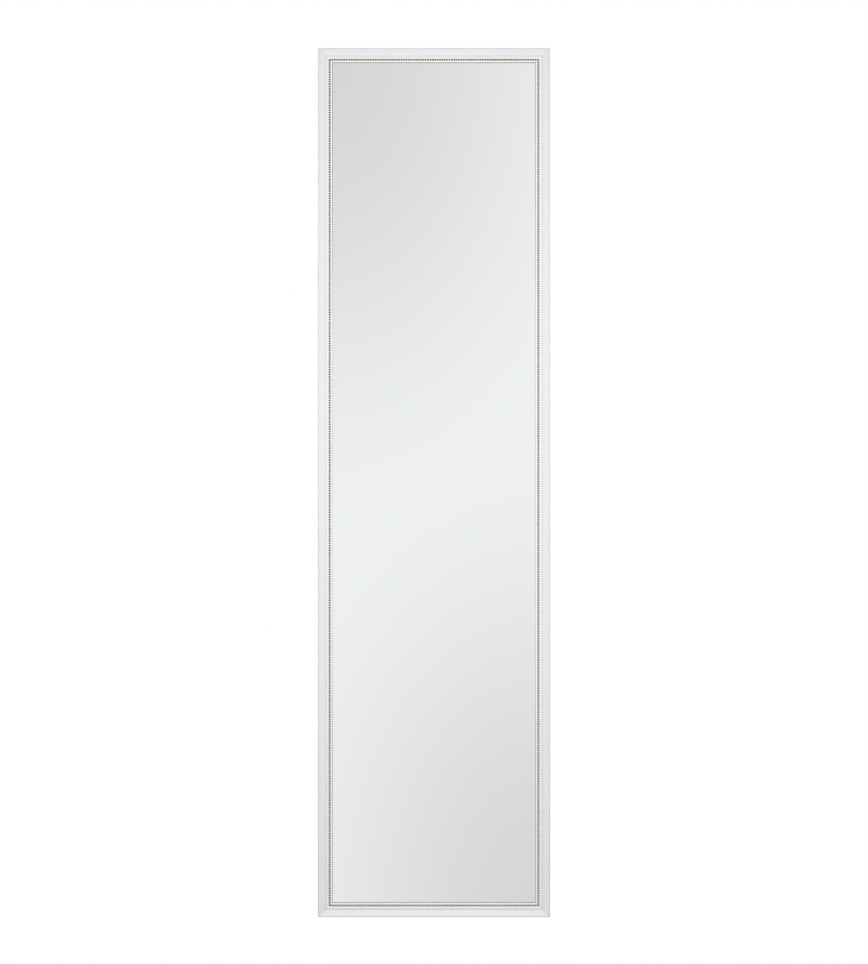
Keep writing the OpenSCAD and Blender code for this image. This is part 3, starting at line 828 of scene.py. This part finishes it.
def pressed_hardboard(finish):
    """Brown hardboard, pressed smooth from wood fibre: matt, with short darker fibres and a
    cloudy tone."""
    material, tree, shader = new_finish("pressed_hardboard", finish.board, 0.72)
    spot = millimetres(tree)
    cloud = add_node(tree, NOISE, {"Vector": spot, "Scale": 1 / 45, "Detail": 4})
    fibres = add_node(tree, NOISE, {"Vector": spot, "Scale": 1 / 1.8, "Detail": 5,
                                    "Roughness": 0.75, "Distortion": 1.4})
    dark = add_node(tree, RANGE, {"Value": fibres, "From Min": 0.5, "From Max": 0.72,
                                  "To Max": 0.6})
    tone = add_node(tree, MIX, {SHARE: dark, FIRST: finish.board, SECOND: finish.board_fibre},
                    data_type="RGBA")
    grit = add_node(tree, BUMP, {"Height": fibres, "Strength": 0.4, "Distance": 0.05 * MM})
    feed(tree, shader, {"Base Color": uneven(tree, tone, cloud, 0.9, 1.06), "Normal": grit})
    return material


def zinc_plate(finish, name, roughness):
    """Bright zinc plating on steel: a grey metal shine, clouded a little by the plating bath."""
    material, tree, shader = new_finish(name, finish.zinc, roughness, metallic=1.0)
    spot = millimetres(tree)
    bath = add_node(tree, NOISE, {"Vector": spot, "Scale": 1 / 2.5, "Detail": 3})
    matt = add_node(tree, RANGE, {"Value": bath, "From Min": 0.3, "From Max": 0.7,
                                  "To Min": roughness * 0.8, "To Max": roughness * 1.3})
    feed(tree, shader, {"Base Color": uneven(tree, finish.zinc, bath, 0.86, 1.04),
                        "Roughness": matt})
    return material


def powder_coat(finish):
    """White powder coat baked on steel strip: half gloss, with a pebbled skin about 1 mm fine."""
    material, tree, shader = new_finish("powder_coat", finish.powder, 0.36)
    spot = millimetres(tree)
    pebbles = add_node(tree, NOISE, {"Vector": spot, "Scale": 1 / 0.9, "Detail": 2})
    skin = add_node(tree, BUMP, {"Height": pebbles, "Strength": 0.5, "Distance": 0.03 * MM})
    cloud = add_node(tree, NOISE, {"Vector": spot, "Scale": 1 / 20, "Detail": 3})
    feed(tree, shader, {"Base Color": uneven(tree, finish.powder, cloud, 0.975, 1.0),
                        "Normal": skin})
    return material


def closed_cell_foam(finish):
    """White closed-cell foam: quite matt, with a skin of cells about half a millimetre wide."""
    material, tree, shader = new_finish("closed_cell_foam", finish.foam, 0.9)
    spot = millimetres(tree)
    cells = add_node(tree, CELLS, {"Vector": spot, "Scale": 1 / 0.7})
    skin = add_node(tree, BUMP, {"Height": cells, "Strength": 0.5, "Distance": 0.06 * MM})
    tone = add_node(tree, RANGE, {"Value": cells, "From Max": 0.8, "To Min": 1.0, "To Max": 0.93})
    tone = add_node(tree, TONE, {"Color": finish.foam, "Value": tone})
    feed(tree, shader, {"Base Color": tone, "Normal": skin})
    return material


def moulded_rubber(finish):
    """Dark moulded rubber: a dull skin with a fine grain from the mould."""
    material, tree, shader = new_finish("moulded_rubber", finish.rubber, 0.62)
    spot = millimetres(tree)
    grain = add_node(tree, NOISE, {"Vector": spot, "Scale": 1 / 0.35, "Detail": 2})
    skin = add_node(tree, BUMP, {"Height": grain, "Strength": 0.4, "Distance": 0.03 * MM})
    bloom = add_node(tree, NOISE, {"Vector": spot, "Scale": 1 / 4, "Detail": 3})
    feed(tree, shader, {"Base Color": uneven(tree, finish.rubber, bloom, 0.85, 1.3),
                        "Normal": skin})
    return material


# ---- Operators: one for each group of like pieces, and one for the stage ----


class DOORMIRROR_OT_moulding(bpy.types.Operator):
    """Models the four mitred members of the white frame"""

    bl_idname = "doormirror.moulding"
    bl_label = "Frame Moulding"

    def execute(self, context):
        sizes, hooks = context.scene.mirror_moulding, context.scene.mirror_hooks
        paint = satin_moulding_paint(context.scene.mirror_finish, sizes)
        names = ("stile_left", "stile_right", "rail_top", "rail_bottom")
        for member in round_the_frame(lambda name, run: moulding(name, sizes, run), names):
            if member.name == "rail_top":
                # The exact solver at times splits the flat end at a mitre, and this one doesn't
                for x in (-HOOK_X, HOOK_X):
                    cut(member, strap_seat(hooks, x), "MANIFOLD")
            soften(member, sizes.soft_edge)
            dress(member, paint, "mirror", "frame_" + member.name)
        return {"FINISHED"}


class DOORMIRROR_OT_bead_trim(bpy.types.Operator):
    """Models the four strips of beads inlaid in the frame"""

    bl_idname = "doormirror.bead_trim"
    bl_label = "Bead Trim"

    def execute(self, context):
        sizes, beads = context.scene.mirror_moulding, context.scene.mirror_beads
        wash = washed_beads(context.scene.mirror_finish, sizes, beads)
        names = ["beads_" + side for side in SIDES]
        rows = round_the_frame(lambda name, run: bead_row(name, sizes, beads, run), names)
        for row, side in zip(rows, SIDES):
            dress(row, wash, "mirror", "bead_trim_" + side)
        return {"FINISHED"}


class DOORMIRROR_OT_glass_and_back(bpy.types.Operator):
    """Finishes the silvered glass, the hardboard back and the metal that holds them"""

    bl_idname = "doormirror.glass_and_back"
    bl_label = "Glass and Back"

    def execute(self, context):
        finish = context.scene.mirror_finish
        zinc = zinc_plate(finish, "zinc_plated_spring_steel", 0.34)
        finishes = {"mirror_glass": silvered_float_glass(finish),
                    "backing_board": pressed_hardboard(finish), "corner_v_nails": zinc}
        for side in SIDES:
            finishes["retaining_points_" + side] = zinc
        for node, material in finishes.items():
            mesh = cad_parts[node].data
            mesh.materials.clear()
            mesh.materials.append(material)
        return {"FINISHED"}


class DOORMIRROR_OT_bumpers(bpy.types.Operator):
    """Models the two rubber bumpers"""

    bl_idname = "doormirror.bumpers"
    bl_label = "Door Bumpers"

    def execute(self, context):
        rubber = moulded_rubber(context.scene.mirror_finish)
        dress(bumpers("rubber_bumpers"), rubber, "mirror", "door_bumpers")
        return {"FINISHED"}


class DOORMIRROR_OT_strap_hooks(bpy.types.Operator):
    """Models the two strap hooks and their screws"""

    bl_idname = "doormirror.strap_hooks"
    bl_label = "Strap Hooks"

    def execute(self, context):
        sizes, finish = context.scene.mirror_hooks, context.scene.mirror_finish
        coat, zinc = powder_coat(finish), zinc_plate(finish, "zinc_plated_screws", 0.26)
        for side, x in (("left", -HOOK_X), ("right", HOOK_X)):
            hook = strap_hook("strap_hook_" + side, sizes, x)
            dress(hook, coat, side + "_hook", "door_hook_" + side)
            screws = hook_screws("screws_" + side, sizes, x)
            dress(screws, zinc, "mirror", "hook_screws_" + side)
        return {"FINISHED"}


class DOORMIRROR_OT_hook_pads(bpy.types.Operator):
    """Models the six foam pads of the hooks"""

    bl_idname = "doormirror.hook_pads"
    bl_label = "Hook Pads"

    def execute(self, context):
        foam = closed_cell_foam(context.scene.mirror_finish)
        for side in ("left", "right"):
            for spot in ("top", "lip", "leg"):
                node = f"hook_{spot}_pad_{side}"
                piece = pad(f"foam_{spot}_{side}", context.scene.mirror_hooks, node)
                dress(piece, foam, side + "_hook", node)
        return {"FINISHED"}


class DOORMIRROR_OT_stage(bpy.types.Operator):
    """Sets up the camera, the soft lamps, the white surroundings and the floor"""

    bl_idname = "doormirror.stage"
    bl_label = "Studio Stage"

    def execute(self, context):
        stage = context.scene.mirror_stage
        camera_distance = place_camera(context.scene, stage)
        white_surroundings(context.scene, stage)
        pale_floor(stage)
        tone_card(stage, camera_distance)
        for lamp in LAMPS:
            soft_lamp(*lamp)
        return {"FINISHED"}


# ---- Stage ----

PICTURE_H = 964  # height of the photograph's frame in pixels
CAMERA_RISE = 0.9 * MM  # of the camera above the middle of the frame
WHITE = (1, 1, 1, 1)

CARD_BEHIND = 1.3  # distance of the tone card, as a share of the camera's

# Size of the tone card, and where it begins and ends to fade into the white, across and up. They
# are shares of what the mirror shows at the card
CARD_W, CARD_H = 2, 1.5
CARD_FADE_W, CARD_FADE_H = (1.2, 1.95), (1.05, 1.45)

# name, place from the middle of the frame, side, watts
LAMPS = (
    ("key", (0.0, -1.5, 0.2), 0.3, 12.0),
    ("fill", (0.0, -2.4, 1.2), 0.4, 8.0),
    ("back_left", (-2.4, 2.0, 1.8), 0.5, 45.0),
    ("back_right", (2.4, 2.0, 1.8), 0.5, 45.0),
)


def place_camera(scene, stage):
    """A long lens looks straight at the middle of the mirror. Returns its distance from it."""
    bpy.ops.object.select_all(action="DESELECT")
    bpy.ops.object.camera_add(rotation=(math.pi / 2, 0, 0))
    camera = bpy.context.active_object
    camera.data.lens = stage.lens
    half_sensor = camera.data.sensor_width / 2
    distance = stage.pixel * PICTURE_H / 2 * stage.lens / half_sensor
    camera.location = (0, STILE_LOW.y - distance, MID_Z + CAMERA_RISE)
    scene.camera = camera
    return distance


def white_surroundings(scene, stage):
    """Camera, glossy and transmitted rays meet plain white. Surfaces are lit a little softer."""
    world = bpy.data.worlds.new("white_surroundings")
    world.use_nodes = True
    scene.world = world
    scene.view_settings.view_transform = "Standard"
    tree = world.node_tree
    path = add_node(tree, "ShaderNodeLightPath")
    seen = add_node(tree, MATH, {0: path.outputs["Is Camera Ray"],
                                 1: path.outputs["Is Glossy Ray"]}, operation="MAXIMUM")
    seen = add_node(tree, MATH, {0: seen, 1: path.outputs["Is Transmission Ray"]},
                    operation="MAXIMUM")
    dim = add_node(tree, "ShaderNodeBackground", {"Color": WHITE, "Strength": stage.ambient})
    white = add_node(tree, "ShaderNodeBackground", {"Color": WHITE})
    both = add_node(tree, "ShaderNodeMixShader", {0: seen, 1: dim, 2: white})
    feed(tree, tree.nodes["World Output"], {"Surface": both})


def pale_floor(stage):
    """Round pale floor a door's height below the hooks. It keeps the shadow of the mirror and
    fades into the white towards its rim."""
    door_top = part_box("hook_top_pad_left")[0].z
    floor = new_piece("floor", bpy.ops.mesh.primitive_circle_add, vertices=96,
                      radius=stage.floor_r, fill_type="NGON",
                      location=(0, 0, door_top - stage.door_h))
    material, tree, shader = new_finish("pale_floor", stage.floor_tone, 0.9)
    spot = add_node(tree, COORDS).outputs["Object"]
    flat = add_node(tree, VECTOR, {0: spot, 1: (1, 1, 0)}, operation="MULTIPLY")
    far = add_node(tree, VECTOR, {0: flat}, operation="LENGTH")
    fade_from, fade_to = 0.3 * stage.floor_r, 0.95 * stage.floor_r
    rim = add_node(tree, RANGE, {"Value": far, "From Min": fade_from, "From Max": fade_to},
                   interpolation_type="SMOOTHSTEP")
    white = add_node(tree, "ShaderNodeEmission", {"Color": WHITE})
    faded = add_node(tree, "ShaderNodeMixShader", {0: rim, 1: shader, 2: white})
    feed(tree, tree.nodes["Material Output"], {"Surface": faded})
    floor.data.materials.append(material)


def card_shade(tree, stage, spread, half_w, half_h):
    """How much darker than white the card is. It is darker in two opposite corners, as a room's
    light leaves it, and fades into the white round it."""
    # Where the mirror shows each point of the card, in metres from the middle of the glass
    spot = add_node(tree, COORDS).outputs["Object"]
    spot = add_node(tree, PLACE, {
        "Vector": spot, "Location": (0, 0, -MID_Z / spread), "Scale": (1 / spread, 0, 1 / spread),
    })
    fall = 0
    for way in (-1, 1):
        away = add_node(tree, VECTOR, {0: spot, 1: (way * half_w, 0, -way * half_h)},
                        operation="SUBTRACT")
        away = add_node(tree, VECTOR, {0: away, 1: (1 / stage.tone_w, 0, 1 / stage.tone_h)},
                        operation="MULTIPLY")
        away = add_node(tree, VECTOR, {0: away}, operation="LENGTH")
        dark = add_node(tree, RANGE, {"Value": away, "From Min": 1, "From Max": 0,
                                      "To Max": stage.tone_fall}, interpolation_type="SMOOTHSTEP")
        fall = add_node(tree, MATH, {0: fall, 1: dark}, operation="ADD")
    split = add_node(tree, SPLIT, {0: spot})
    for axis, half, reach in (("X", half_w, CARD_FADE_W), ("Z", half_h, CARD_FADE_H)):
        off = add_node(tree, MATH, {0: split.outputs[axis]}, operation="ABSOLUTE")
        fade = add_node(tree, RANGE, {
            "Value": off, "From Min": reach[1] * half, "From Max": reach[0] * half,
        }, interpolation_type="SMOOTHSTEP")
        fall = add_node(tree, MATH, {0: fall, 1: fade}, operation="MULTIPLY")
    return fall


def tone_card(stage, camera_distance):
    """White card behind the camera that only the mirror sees."""
    card_y = -CARD_BEHIND * camera_distance
    spread = 1 - card_y / camera_distance  # how much wider the mirror's view is at the card
    half_w, half_h = GLASS_HIGH.x, FRAME_H / 2
    card = new_piece("tone_card", bpy.ops.mesh.primitive_plane_add, size=2)
    move(card, (0, card_y, MID_Z), (math.pi / 2, 0, 0),
         (CARD_W * half_w * spread, CARD_H * half_h * spread, 1))
    material = bpy.data.materials.new("tone_card")
    material.use_nodes = True
    tree = material.node_tree
    shade = card_shade(tree, stage, spread, half_w, half_h)
    tone = add_node(tree, MATH, {0: 1, 1: shade}, operation="SUBTRACT", use_clamp=True)
    glow = add_node(tree, "ShaderNodeEmission", {"Color": WHITE, "Strength": tone})
    feed(tree, tree.nodes["Material Output"], {"Surface": glow})
    card.data.materials.append(material)
    card.visible_camera = card.visible_diffuse = card.visible_shadow = False
    card.visible_transmission = card.visible_volume_scatter = False


def soft_lamp(name, place, side, watts):
    """A square soft lamp aimed at the middle of the frame, which the mirror doesn't show."""
    middle = Vector((0, 0, MID_Z))
    bpy.ops.object.select_all(action="DESELECT")
    bpy.ops.object.light_add(type="AREA", location=middle + Vector(place))
    lamp = bpy.context.active_object
    lamp.name = lamp.data.name = name
    lamp.rotation_euler = (-Vector(place)).to_track_quat("-Z", "Y").to_euler()
    lamp.data.size = side
    lamp.data.energy = watts
    lamp.visible_camera = lamp.visible_glossy = False


# ---- Add-on ----


class DOORMIRROR_PT_panel(bpy.types.Panel):
    """Lists the pieces of the mirror and their settings"""

    bl_label = "Over the Door Mirror"
    bl_idname = "DOORMIRROR_PT_panel"
    bl_space_type = "VIEW_3D"
    bl_region_type = "UI"
    bl_category = "Door Mirror"

    def draw(self, context):
        for operator in PIECES:
            self.layout.operator(operator.bl_idname)
        for name, group in SETTINGS.items():
            box = self.layout.box()
            box.label(text=group.__doc__)
            for key in group.__annotations__:
                box.prop(getattr(context.scene, name), key)


SETTINGS = {
    "mirror_moulding": MouldingSettings,
    "mirror_beads": BeadSettings,
    "mirror_hooks": HookSettings,
    "mirror_finish": FinishSettings,
    "mirror_stage": StageSettings,
}
PIECES = (
    DOORMIRROR_OT_moulding,
    DOORMIRROR_OT_bead_trim,
    DOORMIRROR_OT_glass_and_back,
    DOORMIRROR_OT_bumpers,
    DOORMIRROR_OT_strap_hooks,
    DOORMIRROR_OT_hook_pads,
    DOORMIRROR_OT_stage,
)


def register():
    for cls in (*SETTINGS.values(), *PIECES, DOORMIRROR_PT_panel):
        bpy.utils.register_class(cls)
    for name, group in SETTINGS.items():
        setattr(bpy.types.Scene, name, bpy.props.PointerProperty(type=group))


def unregister():
    for name in SETTINGS:
        delattr(bpy.types.Scene, name)
    for cls in reversed((*SETTINGS.values(), *PIECES, DOORMIRROR_PT_panel)):
        bpy.utils.unregister_class(cls)


def main():
    """Makes the mirror and its stage."""
    register()
    for piece in PIECES:
        group, name = piece.bl_idname.split(".")
        getattr(getattr(bpy.ops, group), name)()


if __name__ == "__main__":
    main()
